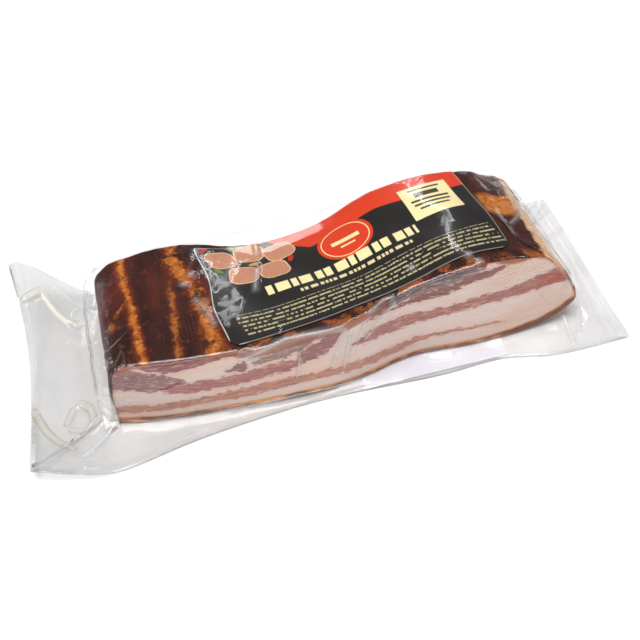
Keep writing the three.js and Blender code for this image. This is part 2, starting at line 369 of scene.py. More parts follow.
def steps(count):
    """Even shares up to 1, without the 0."""
    return np.linspace(0, 1, count + 1)[1:]


def quarter_turn(count):
    """Even angles up to a quarter turn, without the 0."""
    return np.radians(np.linspace(0, 90, count + 1))[1:]


# %% [markdown]
# The slab
#
# The slab lies a millimetre inside its film. Its two long sides were cut with a knife, so they are flat
# and their top edge is sharp. The ends are the belly's own edges, and at the right the rind curls up off
# the table. A cube could be bevelled and sculpted to this, but rings that follow the stations keep every
# edge where the film expects it. Each ring also stores how much of it was cut and how much is rind.

# %% Model the slab
CUT_INSET, END_INSET, TOP_INSET, SOLE_GAP = 1.2, 0.8, 0.8, 0.7
SLAB_CORNER, SOLE_RADIUS, END_FADE = 4, 1.4, 5
BRIM, BRIM_AT_LEFT, BRIM_AT_BACK = 1.8, 6.5, 2.5
RIND_RISE, RIND_FROM, RIND_REACH, RIND_POWER = 14, 109, 41, 2.3
SOLE_RINGS, SOLE_EDGE_RINGS, WALL_RINGS, BRIM_RINGS, TOP_RINGS = 8, 4, 33, 6, 33


def rind_lift(x):
    """The rind's rise off the table towards the right end."""
    return RIND_RISE * (np.clip((x - RIND_FROM) / RIND_REACH, 0, 1.1)) ** RIND_POWER


def slab_foot():
    return outline(
        SLAB_LEFT + END_INSET,
        SLAB_RIGHT - END_INSET,
        lambda x: slab_front(x) + CUT_INSET,
        lambda x: slab_back(x) - CUT_INSET,
        SLAB_CORNER,
    )


def slab_rings():
    """From the middle of the rind outwards, up the cut faces, over the brim and in along the top."""
    foot = slab_foot()
    middle = middle_line(foot)
    x, y = foot.T
    inwards = (middle - foot) / np.linalg.norm(middle - foot, axis=1)[:, None]
    base = SOLE_GAP + rind_lift(x)
    top = slab_top(x, y) - TOP_INSET
    brim = BRIM + BRIM_AT_LEFT * (1 - smooth(x, SLAB_LEFT, SLAB_LEFT + 10)) + BRIM_AT_BACK * smooth(y, 0, 40)
    side = smooth(x, SLAB_LEFT, SLAB_LEFT + END_FADE) * (1 - smooth(x, SLAB_RIGHT - END_FADE, SLAB_RIGHT))
    rings = Rings("cut", "rind")

    def add(points, height, cut, rind):
        xyz = np.column_stack([points, height])
        xyz[:, 0] += lean(xyz[:, 0], xyz[:, 2])
        rings.add(xyz, cut=cut * side, rind=rind)

    for share in np.linspace(0, 1, SOLE_RINGS + 1)[:-1]:
        inner = middle + (foot + inwards * SOLE_RADIUS - middle) * share
        add(inner, SOLE_GAP + rind_lift(inner[:, 0]), 0.0, 1.0)
    for angle in (0.0, *quarter_turn(SOLE_EDGE_RINGS)):
        moved = foot + inwards * (SOLE_RADIUS * (1 - math.sin(angle)))
        height = base + SOLE_RADIUS * (1 - math.cos(angle))
        add(moved, height, math.sin(angle), 1 - 0.5 * math.sin(angle))
    for share in steps(WALL_RINGS):
        height = (base + SOLE_RADIUS) * (1 - share) + (top - brim) * share
        add(foot, height, 1.0, max(0.0, 0.5 - share * 8))
    for angle in quarter_turn(BRIM_RINGS):
        moved = foot + inwards * (brim * (1 - math.cos(angle)))[:, None]
        height = slab_top(*moved.T) - TOP_INSET - brim * (1 - math.sin(angle))
        add(moved, height, 1 - angle / (math.pi / 2), 0.0)
    edge = foot + inwards * brim[:, None]
    for share in steps(TOP_RINGS):
        inner = edge + (middle - edge) * share
        add(inner, slab_top(*inner.T) - TOP_INSET, 0.0, 0.0)
    return rings


slab_skin = slab_rings()
slab = rolled("bacon_slab", slab_skin.points, slab_skin.values)

# %% [markdown]
# The smoked side is lumpy where the meat dried and shrank. Sculpting would do it by hand. A Displace
# modifier with a cloud texture does it evenly and the same way each time, and a vertex group keeps it
# off the cut faces. A second, smaller push gives those faces the drag of the knife.

# %% Give the smoked side its lumps
WEIGHT_STEPS = 20


def weights(obj, name, values):
    """A vertex group from a weight for each point."""
    group = obj.vertex_groups.new(name=name)
    levels = np.rint(np.asarray(values) * WEIGHT_STEPS).astype(int)
    for level in range(1, WEIGHT_STEPS + 1):
        group.add(np.flatnonzero(levels == level).tolist(), level / WEIGHT_STEPS, "REPLACE")


def lumps(obj, group, size, depth, middle=0.62):
    """Pushes the surface in and out by a cloud texture of this size, in millimetres."""
    texture = bpy.data.textures.new(f"{group}_{size}", "CLOUDS")
    texture.noise_scale = size * MM
    texture.noise_depth = 2
    texture.cloud_type = "GRAYSCALE"
    push = obj.modifiers.new(f"lumps_{size}", "DISPLACE")
    push.texture = texture
    push.texture_coords = "LOCAL"
    push.vertex_group = group
    push.strength = depth * MM
    push.mid_level = middle
    bpy.context.view_layer.objects.active = obj
    bpy.ops.object.modifier_apply(modifier=push.name)


cut = stored(slab, "cut")
weights(slab, "smoked", (1 - cut) * (1 - stored(slab, "rind")))
weights(slab, "sliced", cut)
lumps(slab, "smoked", 22, 2.6, middle=0.75)
lumps(slab, "smoked", 5, 0.7)
lumps(slab, "sliced", 9, 0.35)
print("slab size", [round(side / MM, 1) for side in slab.dimensions], "mm")

# %% [markdown]
# The film's lines
#
# A vacuum pulls the two webs of film on to the slab and on to each other. Spare film gathers into sharp
# creases, the webs are welded along the edges, and a little juice stands in channels of the flange. A
# cloth simulation would put its creases anywhere. Here each one is a line with a width and a height,
# and it raises the film that is near it.

# %% Lines that the film is raised along
# Points in millimetres, half the width, height. In the flange a point is (x, y), on the slab (x, y, z).
TUBES = [
    ([(-163, 50), (-153, 58), (-144, 43), (-129, 28)], 2.4, 2.2),
    ([(-166, -22), (-160, -40), (-153, -53), (-146, -61)], 2.0, 1.6),
    ([(-148, -38), (-144, -29), (-139, -26), (-134, -34), (-133, -42), (-139, -48), (-146, -44)], 1.9, 1.2),
]
WELDS = [
    ([(-131, 44), (-131, 10), (-130, -16), (-127, -42)], 1.3, 0.8),
    ([(-163, 76), (-160, 20), (-164, -40), (-163, -70)], 1.2, 0.5),
    ([(-170, -67), (-148, -73), (-120, -76), (-80, -68)], 1.2, 0.5),
    ([(169, 60), (167, 0), (162, -72)], 1.2, 0.6),
    ([(165, 60), (163, 0), (157, -70)], 1.0, 0.5),
]
FOLDS = [
    ([(139, -47), (138, -58), (137, -70)], 1.2, 1.5),
    ([(151, -38), (148, -50), (143, -64)], 1.2, 1.8),
    ([(146, 44), (154, 52), (166, 60)], 1.4, 1.8),
    ([(151, 34), (160, 42), (171, 50)], 1.2, 1.4),
    ([(153, 20), (163, 24), (172, 30)], 1.2, 1.0),
    ([(-124, 46), (-133, 54), (-146, 64)], 1.6, 2.2),
    ([(-122, -50), (-132, -60), (-142, -70)], 1.4, 1.8),
    ([(-126, -44), (-136, -50), (-146, -52)], 1.2, 1.2),
]
CREASES = [
    ([(-20, 40, 42), (-24, 14, 41), (-30, -12, 43.5)], 1.6, 1.6),
    (
        [(-48, -59.2, 39), (-36, -59.6, 41.6), (-23, -58.6, 43.9), (-9, -59.4, 44.3), (9, -59.6, 43.2)],
        1.8,
        1.5,
    ),
    ([(-48, -58.3, 42.7), (-44, -59.5, 35), (-37, -59.9, 37.7)], 1.0, 0.9),
    ([(-17, -61, 35), (-18, -61, 26.6), (-20, -61, 16.6)], 1.0, 0.5),
    ([(8, -59.7, 43), (4, -60.3, 29.5), (0, -60.8, 19)], 1.0, 0.5),
    ([(12, -59.3, 41), (9, -59.9, 26), (5, -60.3, 11)], 1.0, 0.5),
    ([(21, -57.3, 42), (16, -58.7, 32), (10, -59.7, 22)], 1.0, 0.5),
    ([(39, -52.5, 47), (28, -55.6, 38), (20, -57.7, 31)], 1.2, 1.2),
    ([(24, -55.4, 46.4), (34, -51, 48.5), (39, -50.8, 49)], 1.2, 1.0),
    ([(-119, -48, 40), (-123, -48, 24), (-125, -48, 6)], 1.5, 1.8),
    ([(-122, -49, 16), (-126, -50, 3)], 3.0, 2.2),
    ([(-64, -12, 46.6), (-60, -23, 46.7), (-57, -36, 46)], 1.5, 1.0),
    ([(-122, 20, 41), (-125, -10, 33), (-127, -36, 22)], 1.4, 1.4),
    ([(-116, 38, 43), (-120, 12, 42), (-122, -14, 39), (-124, -40, 34)], 1.4, 1.2),
    ([(-126, 34, 28), (-127, 6, 22), (-128, -30, 10)], 1.4, 1.2),
    ([(129, -24, 50), (131, -44, 46), (139, -49, 27)], 1.5, 1.8),
    ([(128, 10, 50), (134, -20, 44), (143, -42, 30)], 1.5, 1.6),
    ([(120, 40, 46), (130, 24, 46), (138, 8, 38)], 1.6, 1.8),
    ([(108, 43, 50), (122, 30, 51), (132, 12, 46)], 1.6, 1.6),
    ([(140, 40, 34), (143, 26, 31), (145, 10, 27)], 1.6, 1.8),
    ([(132, 20, 48), (140, 0, 37), (147, -24, 22)], 1.4, 1.4),
    ([(124, 18, 52), (131, 4, 49), (133, -10, 46)], 1.3, 1.8),
    ([(131, 4, 49), (126, -10, 51), (118, -18, 53)], 1.1, 1.0),
    ([(100, 44, 50), (112, 40, 51), (124, 34, 49)], 1.2, 1.4),
]

# %% Stars, where the film has crumpled at one place
STARS = [(-68, 3), (-62, 10), (119, 18), (88, -50), (54, -36), (84, -43), (118, 30), (110, 38)]
STAR_SIZE, STAR_WIDTH, STAR_HEIGHT, STAR_TURNS = 2.2, 0.8, 0.7, (20, 75, 130)


def star_creases():
    """Short crossed creases at each star."""
    for x, y in STARS:
        height = slab_top(float(x), float(y))
        for turn in np.radians(STAR_TURNS):
            a, b = STAR_SIZE * math.cos(turn), STAR_SIZE * math.sin(turn)
            yield [(x - a, y - b, height), (x + a, y + b, height)], STAR_WIDTH, STAR_HEIGHT


CREASES += star_creases()
print(len(TUBES + WELDS + FOLDS), "lines in the flange,", len(CREASES), "on the slab")


# %% Raise what is near a line
def near_line(places, points):
    """Distance from each place to a line through the points, in as many dimensions as they have."""
    best = np.full(len(places), 1e9)
    for start, end in zip(np.array(points[:-1], float), np.array(points[1:], float)):
        way = end - start
        t = np.clip((places - start) @ way / (way @ way), 0, 1)
        best = np.minimum(best, np.linalg.norm(places - start - t[:, None] * way, axis=1))
    return best


def raised(places, lines):
    """Height and mask of a set of raised lines at each place."""
    height, mask = np.zeros(len(places)), np.zeros(len(places))
    for points, width, top in lines:
        bell = np.exp(-((near_line(places, points) / width) ** 2))
        height = np.maximum(height, top * bell)
        mask = np.maximum(mask, bell)
    return height, mask


# %% [markdown]
# The film
#
# Film is far thinner than anything else here, so its skin is one closed surface with no thickness of its
# own. It starts in the middle of the lower web, turns over at the bag's edge, comes back in along the
# upper web and climbs the slab. Where film can't follow the meat it stands off in tents: at the foot of
# the slab, over the dip in its back, and off its left end.

# %% Outline the bag
FILM_CORNER, LEFT_GAP = 9, 5.5
TOOTH, TEETH_BACK = 1.5, -18
FRONT_TENT, BACK_TENT, TENT_REACH = 4.5, 11, 8
UPPER_WEB, RIM_GAP = 1.2, 0.35
LEFT_BRIM, FILM_BRIM, BACK_BRIM = 8, 3.2, 4.5
DIP_LEFT, DIP_RIGHT, DIP_START, DIP_END = -62, 52, 45, 52


def bag_outline():
    """The bag's edge: its long sides, its swinging ends, and small teeth where the left end was cut."""
    bag = outline(
        BAG_LEFT,
        BAG_RIGHT,
        lambda x: along(BAG_EDGES, 1, x),
        lambda x: along(BAG_EDGES, 2, x),
        BAG_RADIUS,
    )
    on_left = bag[:, 0] < BAG_LEFT + 0.5
    bag[:, 0] += end_shift(*bag.T)
    every_other = np.arange(len(bag)) % 2
    bag[:, 0] += TOOTH * every_other * on_left * (bag[:, 1] < TEETH_BACK)
    return bag


def dip_tent(x, y):
    """How far the film stands over the dip in the slab's back."""
    span = smooth(x, DIP_LEFT, -38) * (1 - smooth(x, 28, DIP_RIGHT))
    chord = DIP_START + (x - DIP_LEFT) * (DIP_END - DIP_START) / (DIP_RIGHT - DIP_LEFT)
    depth = np.maximum(chord - along(SLAB_SECTIONS, 4, x), 0)
    return span * depth * smooth(y - slab_back(x), -24, -3)


# %% Model the film
class Film(Rings):
    """The film's rings: lower web, upper web, wall, brim and top."""

    def __init__(self):
        super().__init__("flange", "juice", "weld", "fold", "loose")
        self.bag = bag_outline()
        self.foot = outline(SLAB_LEFT - LEFT_GAP, SLAB_RIGHT, slab_front, slab_back, FILM_CORNER)
        self.middle = middle_line(self.foot)
        self.inwards = self.middle - self.foot
        self.inwards /= np.linalg.norm(self.inwards, axis=1)[:, None]
        x, y = self.foot.T
        from_front = y - slab_front(x)
        self.near_end = np.maximum(1 - smooth(x, -118, -95), smooth(x, 110, 135))
        self.slack = np.maximum(self.near_end, 0.5 * smooth(from_front, 60, 95))
        self.rise = FRONT_TENT + (BACK_TENT - FRONT_TENT) * smooth(from_front, 0, 36)
        across = np.clip(from_front / (slab_back(x) - slab_front(x)), 0, 1)
        left_brim = LEFT_BRIM * (1 - smooth(x, SLAB_LEFT, SLAB_LEFT + 8))
        self.brim = np.maximum(left_brim, FILM_BRIM + BACK_BRIM * smooth(across, 0.2, 0.8))

    def in_flange(self, points, height, flange, loose):
        """Adds a ring that is raised along the tubes, welds and folds."""
        tube, juice = raised(points, TUBES)
        weld, welded = raised(points, WELDS)
        fold, folded = raised(points, FOLDS)
        xyz = np.column_stack([points, height + tube + weld + fold])
        xyz[:, 0] += lean(xyz[:, 0], xyz[:, 2])
        self.add(xyz, flange=flange, loose=loose, juice=juice, weld=welded, fold=folded)

    def on_slab(self, points, height, tilt, loose, flange=0.0):
        """Adds a ring that is raised along the creases: outwards on the wall, up on the top."""
        xyz = np.column_stack([points[:, 0] + lean(points[:, 0], height), points[:, 1], height])
        rise, creased = raised(xyz, CREASES)
        xyz[:, :2] -= self.inwards * (rise * math.cos(tilt))[:, None]
        xyz[:, 2] += rise * math.sin(tilt)
        self.add(xyz, flange=flange, loose=loose, fold=creased)

    def lower_web(self, count=8):
        """From the middle of the underside out to the bag's edge."""
        for share in np.linspace(0, 1, count) ** 0.8:
            under = self.middle + (self.bag - self.middle) * share
            self.add(np.column_stack([under, flange_lift(*under.T)]), flange=1.0)

    def upper_web(self, count=50):
        """From the bag's edge in to the foot of the slab, where the film rises in a tent."""
        for share in np.linspace(0, 1, count):
            over = self.bag + (self.foot - self.bag) * (1 - (1 - share) ** 1.2)
            away = np.hypot(*(over - self.foot).T) / TENT_REACH
            rim = np.hypot(*(over - self.bag).T)
            gap = RIM_GAP + (UPPER_WEB - RIM_GAP) * smooth(rim, 0, 4)
            ripple = np.sin(over[:, 0] / 5.1 + 2 * np.sin(over[:, 1] / 9)) * smooth(rim, 1, 8)
            tent = (self.rise - UPPER_WEB) * np.exp(-(away**2))
            height = flange_lift(*over.T) + gap + tent + 0.2 * ripple
            flange = 1 - 0.75 * math.exp(-(((1 - share) * 6) ** 2))
            self.in_flange(over, height, flange, 0.06 + 0.35 * share**3 * self.near_end)

    def wall(self, count=26):
        """Up the sides of the slab."""
        x, y = self.foot.T
        crest = slab_top(x, y) + dip_tent(x, y)
        at_left = 1 - smooth(x, SLAB_LEFT - LEFT_GAP, SLAB_LEFT + 3)
        for share in steps(count):
            height = self.rise * (1 - share) + (crest - self.brim) * share
            flange = 0.25 * (1 - share) ** 3 + 0.25 * at_left
            self.on_slab(self.foot, height, 0.0, 0.1 + 0.9 * self.slack, flange)

    def over_brim(self, count=6):
        """Round the slab's top edge."""
        for angle in quarter_turn(count):
            moved = self.foot + self.inwards * (self.brim * (1 - math.cos(angle)))[:, None]
            height = slab_top(*moved.T) + dip_tent(*moved.T) - self.brim * (1 - math.sin(angle))
            self.on_slab(moved, height, angle, 0.15 + 0.85 * self.slack)

    def top(self, count=22):
        """In along the smoked side, until the film meets itself in the middle."""
        edge = self.foot + self.inwards * self.brim[:, None]
        for share in steps(count):
            inner = edge + (self.middle - edge) * share
            height = slab_top(*inner.T) + dip_tent(*inner.T)
            self.on_slab(inner, height, math.pi / 2, 0.2 + 0.5 * self.near_end * (1 - share))


skin = Film()
skin.lower_web()
skin.upper_web()
skin.wall()
skin.over_brim()
skin.top()
film = rolled("clear_bag", skin.points, skin.values)
weights(film, "loose", np.clip(stored(film, "loose"), 0, 1))
lumps(film, "loose", 13, 1.7, middle=0.4)
lumps(film, "loose", 5, 0.9, middle=0.4)

# %% [markdown]
# The printed label
#
# The label is one rounded sheet of paper, slid under the film and pressed on to the slab. A plane gets
# its two front corners rounded with a vertex bevel. Bisecting it in both directions gives it enough
# edges to bend, and then each point takes the height of the slab below it.

# %% Model the label
LABEL_LENGTH, LABEL_WIDTH, LABEL_RADIUS, LABEL_SLANT = 162.0, 89.0, 7.0, 9.0
LABEL_CENTRE, LABEL_TURN = (26.0, -3.0), math.radians(5)
LABEL_CELL = 2.0

bpy.ops.object.select_all(action="DESELECT")
bpy.ops.mesh.primitive_plane_add(size=1)
label = bpy.context.object
label.name = "printed_label"
bpy.ops.object.mode_set(mode="EDIT")
bpy.ops.mesh.select_all(action="SELECT")
bpy.ops.transform.resize(value=(LABEL_LENGTH * MM, LABEL_WIDTH * MM, 1))
bpy.ops.mesh.select_all(action="DESELECT")
sheet = bmesh.from_edit_mesh(label.data)
for vertex in sheet.verts:
    vertex.select = vertex.co.y < 0
sheet.select_flush_mode()
bmesh.update_edit_mesh(label.data)
bpy.ops.mesh.bevel(offset=LABEL_RADIUS * MM, segments=8, affect="VERTICES")


def slice_sheet(length, axis):
    """Bisects the whole sheet at even steps along one axis."""
    cells = int(length // LABEL_CELL)
    for k in range(1, cells):
        at = (k / cells - 0.5) * length * MM
        bpy.ops.mesh.select_all(action="SELECT")
        bpy.ops.mesh.bisect(plane_co=tuple(at * a for a in axis), plane_no=axis)


slice_sheet(LABEL_LENGTH, (1, 0, 0))
slice_sheet(LABEL_WIDTH, (0, 1, 0))
bpy.ops.object.mode_set(mode="OBJECT")
print("label cut into", len(label.data.polygons), "cells")

# %% [markdown]
# Paper bends but doesn't stretch, and this sheet bends little, so each point can drop straight down on
# to the slab. The print's UV map is laid out first, while the sheet is still flat. At the back the label
# rolls over the slab's edge, and over the dip it buckles a little. Solidify gives it its thickness.

# %% Drape the label and lay out its print
LABEL_GAP, LABEL_ROLL, LABEL_WAVE, LABEL_BUCKLE = 0.35, 6.0, 1.2, 0.1
PAPER_THICKNESS, UV_SPAN = 0.2, 100


def draped(u, v):
    """Where a point of the flat label lies on the slab, in millimetres."""
    slant = LABEL_SLANT * (0.5 * v / LABEL_WIDTH) + LABEL_WAVE * np.sin(v / 9)
    u = u + slant * (1 - smooth(u, -LABEL_LENGTH / 2, -LABEL_LENGTH / 2 + 30))
    x = LABEL_CENTRE[0] + u * math.cos(LABEL_TURN) - v * math.sin(LABEL_TURN)
    y = LABEL_CENTRE[1] + u * math.sin(LABEL_TURN) + v * math.cos(LABEL_TURN)
    over = np.clip((y - slab_back(x) + LABEL_ROLL) / LABEL_ROLL, 0, 1.15)
    height = slab_top(x, y) - LABEL_GAP - LABEL_ROLL * (1 - np.sqrt(np.maximum(1 - over**2, 0)))
    y = np.minimum(y, slab_back(x) - 0.3)
    in_dip = smooth(x, -60, -30) * (1 - smooth(x, 20, 60))
    buckle = LABEL_BUCKLE * np.sin(x / 7.3 + y / 17) * np.sin(y / 13) * in_dip
    return x + lean(x, height), y, height + buckle


flat = read_points(label.data) / MM
uv_layer = label.data.uv_layers[0]
uv_layer.name = "print"
for loop in label.data.loops:
    u, v = flat[loop.vertex_index][:2]
    uv_layer.data[loop.index].uv = (u / UV_SPAN + 0.5, v / UV_SPAN + 0.5)
write_points(label.data, np.stack(draped(flat[:, 0], flat[:, 1]), 1))
label.data.update()
paper = label.modifiers.new("paper", "SOLIDIFY")
paper.thickness = PAPER_THICKNESS * MM
paper.offset = -1
bpy.context.view_layer.objects.active = label
bpy.ops.object.modifier_apply(modifier="paper")
bpy.ops.object.select_all(action="DESELECT")
label.select_set(True)
bpy.ops.object.shade_smooth_by_angle(angle=math.radians(40))
print("label size", [round(side / MM, 1) for side in label.dimensions], "mm")

# %% [markdown]
# Shader maths
#
# A pattern is easiest to read as a formula. The small class below wraps one output of a node, and adding
# or multiplying two of them makes the Math node for it. A Paint is one material: it hands out the place
# on the object in millimetres, noise, curves and mixed colours.


# %% Formulas that become nodes
class Field:
    """One number that varies over a surface."""

    def __init__(self, paint, socket):
        self.paint, self.socket = paint, socket

    def math(self, operation, *others):
        values = {0: self, **dict(enumerate(others, 1))}
        return self.paint.value("Math", {"operation": operation}, values)

    def __add__(self, other):
        return self.math("ADD", other)

    def __sub__(self, other):
        return self.math("SUBTRACT", other)

    def __mul__(self, other):
        return self.math("MULTIPLY", other)

    def __truediv__(self, other):
        return self.math("DIVIDE", other)

    def __pow__(self, other):
        return self.math("POWER", other)

    def __rsub__(self, other):
        return self.paint.value("Math", {"operation": "SUBTRACT"}, {0: other, 1: self})

    def __abs__(self):
        return self.math("ABSOLUTE")

    __radd__ = __add__
    __rmul__ = __mul__

    def wrap(self, size):
        """The remainder after whole steps of this size."""
        return self.math("FLOORED_MODULO", size)

    def sine(self):
        return self.math("SINE")

    def least(self, other):
        return self.math("MINIMUM", other)

    def most(self, other):
        return self.math("MAXIMUM", other)

    def rise(self, low, high):
        """0 below low, 1 above high, smooth between; low above high turns it round."""
        if low > high:
            return 1.0 - self.rise(high, low)
        settings = {"interpolation_type": "SMOOTHSTEP"}
        sockets = {"Value": self, "From Min": low, "From Max": high}
        return self.paint.value("MapRange", settings, sockets)

    def within(self, low, high, soft):
        """1 between low and high, fading over soft on each side."""
        return self.rise(low - soft, low + soft) * self.rise(high + soft, high - soft)


# %% A material and its nodes
class Paint:
    """One material and the nodes that make it."""

    def __init__(self, name):
        self.material = bpy.data.materials.new(name)
        self.material.use_nodes = True
        self.tree = self.material.node_tree
        self.surface = self.tree.nodes["Principled BSDF"]
        place = self.node("TexCoord").outputs["Object"]
        self.place = self.node("VectorMath", {"operation": "SCALE"}, {0: place, "Scale": 1 / MM}).outputs[0]
        split = self.node("SeparateXYZ", {}, {0: self.place})
        self.x, self.y, self.z = (Field(self, split.outputs[k]) for k in range(3))

    def node(self, kind, settings=None, sockets=None):
        """A node of a type, with its settings made first and then its sockets filled or linked."""
        made = self.tree.nodes.new("ShaderNode" + kind)
        for key, value in (settings or {}).items():
            if key == "points":
                line = made.mapping.curves[0]
                for _ in range(len(value) - 2):
                    line.points.new(0.5, 0.5)
                for point, (a, b) in zip(line.points, value):
                    point.location = (a, b)
                made.mapping.update()
            else:
                setattr(made, key, value)
        for key, value in (sockets or {}).items():
            socket = made.inputs[key]
            if isinstance(value, Field):
                self.tree.links.new(value.socket, socket)
            elif isinstance(value, bpy.types.NodeSocket):
                self.tree.links.new(value, socket)
            elif isinstance(value, tuple) and len(value) == 3 and socket.type == "RGBA":
                socket.default_value = (*value, 1.0)
            else:
                socket.default_value = value
        return made

    def value(self, kind, settings, sockets, output=0):
        return Field(self, self.node(kind, settings, sockets).outputs[output])

    def attribute(self, name):
        """A value that was stored on the mesh's points."""
        return self.value("Attribute", {"attribute_name": name}, {}, "Fac")

    def noise(self, size, detail=2.0, stretch=(1, 1, 1), shift=0.0, roughness=0.5):
        """Cloudy noise around 0.5, with blobs of this size in millimetres, longer along a stretched axis."""
        scale = tuple(1 / (size * s) for s in stretch)
        moved = self.node("VectorMath", {"operation": "MULTIPLY"}, {0: self.place, 1: scale}).outputs[0]
        moved = self.node("VectorMath", {"operation": "ADD"}, {0: moved, 1: (shift,) * 3}).outputs[0]
        sockets = {"Vector": moved, "Scale": 1.0, "Detail": detail, "Roughness": roughness}
        return self.value("TexNoise", {}, sockets)

    def curve(self, x, stations, span=(-130.0, 160.0), height=100.0):
        """A smooth curve of millimetres against x, through (x, height) stations."""
        low, high = span
        points = [((a - low) / (high - low), b / height + 0.1) for a, b in stations]
        share = (x - low) / (high - low)
        sockets = {"Factor": 1.0, "Value": share}
        return (self.value("FloatCurve", {"points": points}, sockets) - 0.1) * height

    def blend(self, share, first, second):
        """One colour over another."""
        settings = {"data_type": "RGBA", "clamp_factor": True}
        return self.node("Mix", settings, {"Factor": share, 6: first, 7: second}).outputs[2]

    def layer(self, colour, *masks):
        """Colours laid one after another over the first, each through its own mask."""
        for mask, over in masks:
            colour = self.blend(mask, colour, over)
        return colour

    def bump(self, height, distance, strength=1.0):
        """A Bump node on the surface; height 1 stands this many millimetres proud."""
        sockets = {"Height": height, "Distance": distance * MM, "Strength": strength}
        made = self.node("Bump", {}, sockets).outputs[0]
        self.tree.links.new(made, self.surface.inputs["Normal"])

    def finish(self, colour, roughness, **constants):
        """Links what varies, and sets the rest on the shader's own sockets."""
        self.tree.links.new(colour, self.surface.inputs["Base Color"])
        if isinstance(roughness, Field):
            self.tree.links.new(roughness.socket, self.surface.inputs["Roughness"])
        else:
            self.surface.inputs["Roughness"].default_value = roughness
        for key, value in constants.items():
            self.surface.inputs[key.replace("_", " ")].default_value = value
        return self.material


# %% Colours
def srgb(red, green, blue):
    """A colour as it is read off a screen, 0 to 255, turned into the shader's linear values."""

    def linear(value):
        share = value / 255
        return share / 12.92 if share <= 0.04045 else ((share + 0.055) / 1.055) ** 2.4

    return (linear(red), linear(green), linear(blue))


# %% [markdown]
# Meat and fat
#
# The cut face shows the belly's layers: thin bands of lean between bands of fat, over the rind. A painted
# image could hold them, but it would blur close up. Here each band is two curves along the slab, its
# lower and its upper edge, so it can swell, taper and stop, and noise roughens its edges. The same
# layers run right through the slab, so they show on its back as well.

# %% The bands of lean, as (x, lower edge, upper edge)
BANDS = {
    "lower": [
        (-126, 9, 14), (-90, 9, 14), (-60, 9.4, 15), (-45, 9.6, 16), (-20, 11.5, 17), (0, 10.4, 16),
        (25, 9, 14.8), (42, 9.6, 14.6), (58, 12.2, 15), (80, 13.4, 15.2), (98, 12.6, 13.4), (106, 13, 12),
    ],
    "main_left": [
        (-96, 22.5, 21), (-88, 20, 24.5), (-80, 19.2, 26.6), (-60, 19, 26.4), (-40, 20.5, 28.4),
        (-27, 22.6, 29.3), (-19, 25.5, 28.4), (-15, 28.5, 27),
    ],
    "main_right": [
        (8, 28.4, 27), (16, 26.4, 30.6), (28, 25.6, 33.6), (50, 25.6, 33), (72, 27.8, 34),
        (84, 29.2, 36.6), (100, 29.4, 35.8), (120, 29.6, 38.2), (134, 30, 41), (150, 30, 41),
    ],
    "eye": [
        (-126, 25.5, 40), (-112, 26.2, 39.5), (-102, 23.4, 38), (-92, 23.4, 35), (-84, 25.5, 30.5),
        (-79, 28, 27),
    ],
    "rose": [
        (-106, 41, 40.5), (-101, 39.2, 46), (-91, 36, 50), (-80, 36.8, 50), (-62, 39.4, 50),
        (-53, 41.5, 50), (-47, 46, 45),
    ],
    "blob": [(-62, 31, 29), (-56, 29, 33), (-51, 28.6, 35), (-46, 31, 29)],
    "chunk": [(-22, 30, 27), (-17, 26.2, 34), (-8, 27.6, 38.4), (-1, 31.2, 41.5), (4, 37, 41.5), (8, 42, 40)],
    "grey_left": [
        (-47, 33, 31), (-40, 31, 35.5), (-28, 32, 38), (-18, 34.5, 41), (-11, 39, 44), (-6, 43, 42),
    ],
    "grey_right": [
        (16, 39.5, 38), (24, 41.5, 44), (34, 43, 50), (45, 44, 58), (60, 45.8, 64), (72, 48.6, 64),
        (84, 53, 64), (92, 58, 57),
    ],
    "thin": [
        (22, 40, 38.5), (30, 40.6, 42), (42, 40.6, 43), (56, 40.8, 46), (70, 43, 48.2), (80, 46.6, 52),
        (90, 48.4, 54), (98, 51.6, 54.4), (104, 54, 52.6),
    ],
}
LEAN_TONES = {
    "lower": srgb(196, 134, 114),
    "main_left": srgb(176, 112, 104),
    "main_right": srgb(176, 112, 100),
    "eye": srgb(156, 112, 110),
    "rose": srgb(152, 94, 92),
    "blob": srgb(155, 104, 104),
    "chunk": srgb(158, 102, 100),
    "grey_left": srgb(154, 122, 114),
    "grey_right": srgb(118, 96, 98),
    "thin": srgb(142, 86, 80),
}
# Where the smoked skin starts on the cut face, and where the rind ends, as (x, height).
SKIN_EDGE = [
    (-126, 40), (-112, 40.5), (-100, 44), (-70, 44), (-60, 43), (-50, 39.5), (-40, 38), (-28, 39.5),
    (-16, 41), (8, 41.5), (20, 44), (30, 46.5), (40, 51), (50, 55), (70, 58.5), (92, 58.5), (104, 54.5),
    (120, 52.5), (130, 45.6), (140, 31),
]
FOOT = [
    (-128, 3.4), (-108, 1.9), (-60, 1.3), (60, 1.4), (100, 2.0), (112, 2.6), (124, 4.6), (134, 8.8),
    (143, 14.4), (156, 24),
]
FAT, FAT_WARM, FAT_PINK = srgb(216, 198, 190), srgb(219, 187, 170), srgb(206, 158, 146)
SILK, SINEW = srgb(236, 222, 214), srgb(170, 130, 114)
CLEFT, RED_LEAN, LEFT_RIM = srgb(134, 34, 34), srgb(168, 62, 44), srgb(186, 124, 104)
BROWNED, SKIN = srgb(206, 134, 84), srgb(142, 74, 44)
RIND, RIND_DARK = srgb(212, 146, 90), srgb(122, 70, 44)


